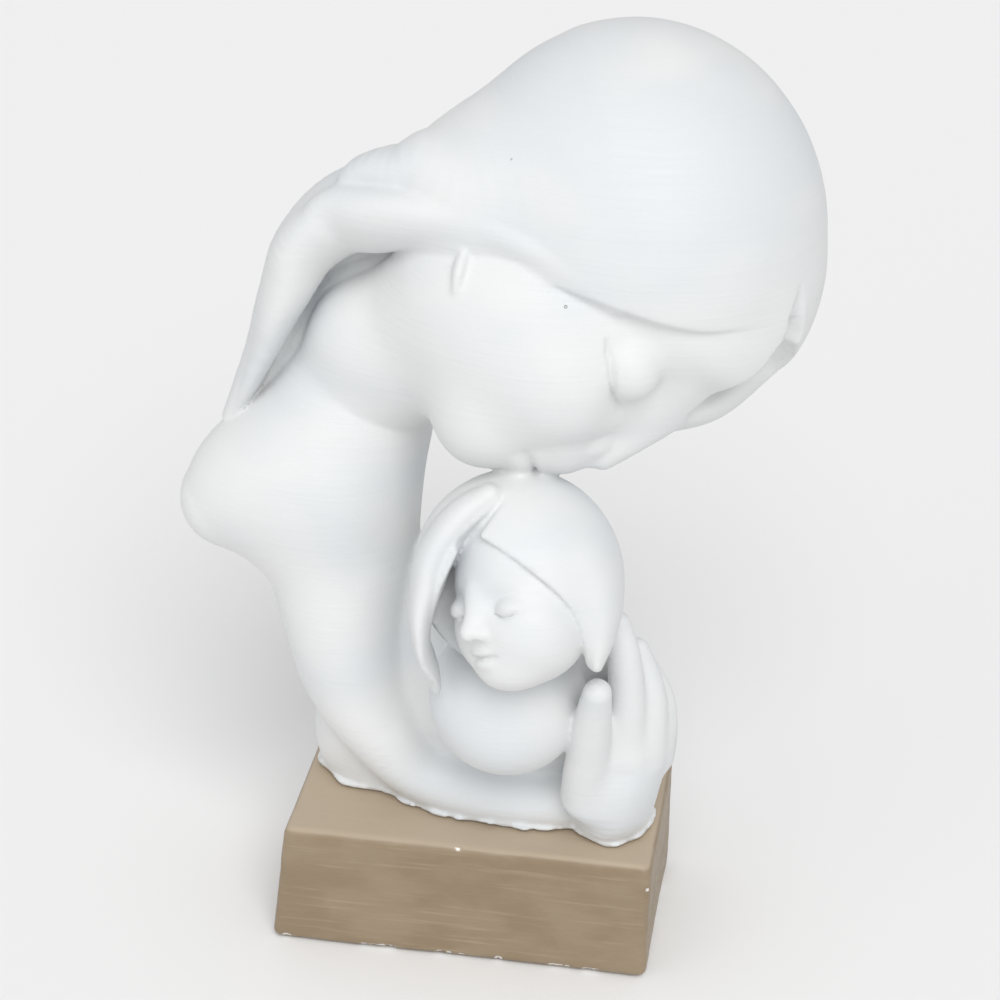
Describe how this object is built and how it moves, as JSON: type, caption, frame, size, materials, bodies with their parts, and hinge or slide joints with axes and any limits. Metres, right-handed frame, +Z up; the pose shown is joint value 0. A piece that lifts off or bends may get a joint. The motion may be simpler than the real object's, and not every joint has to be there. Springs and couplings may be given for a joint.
{
  "type": "mother and child figurine",
  "caption": "Small standing sculpture of a mother bending to kiss a swaddled child, cast in white on a tan painted block",
  "frame": {"origin": "centre of the base block's underside", "axes": "+Z up, +X to the right of the front side, +Y to the back"},
  "size_m": [0.1554, 0.1047, 0.2387],
  "materials": {
    "white_plaster": "matt white cast plaster or resin with a faint brushed coat",
    "tan_paint": "satin tan paint over a white cast block, rubbed at the edges"
  },
  "bodies": {
    "root": {"mother_and_child": "white_plaster", "base_block": "tan_paint"}
  },
  "joints": []
}
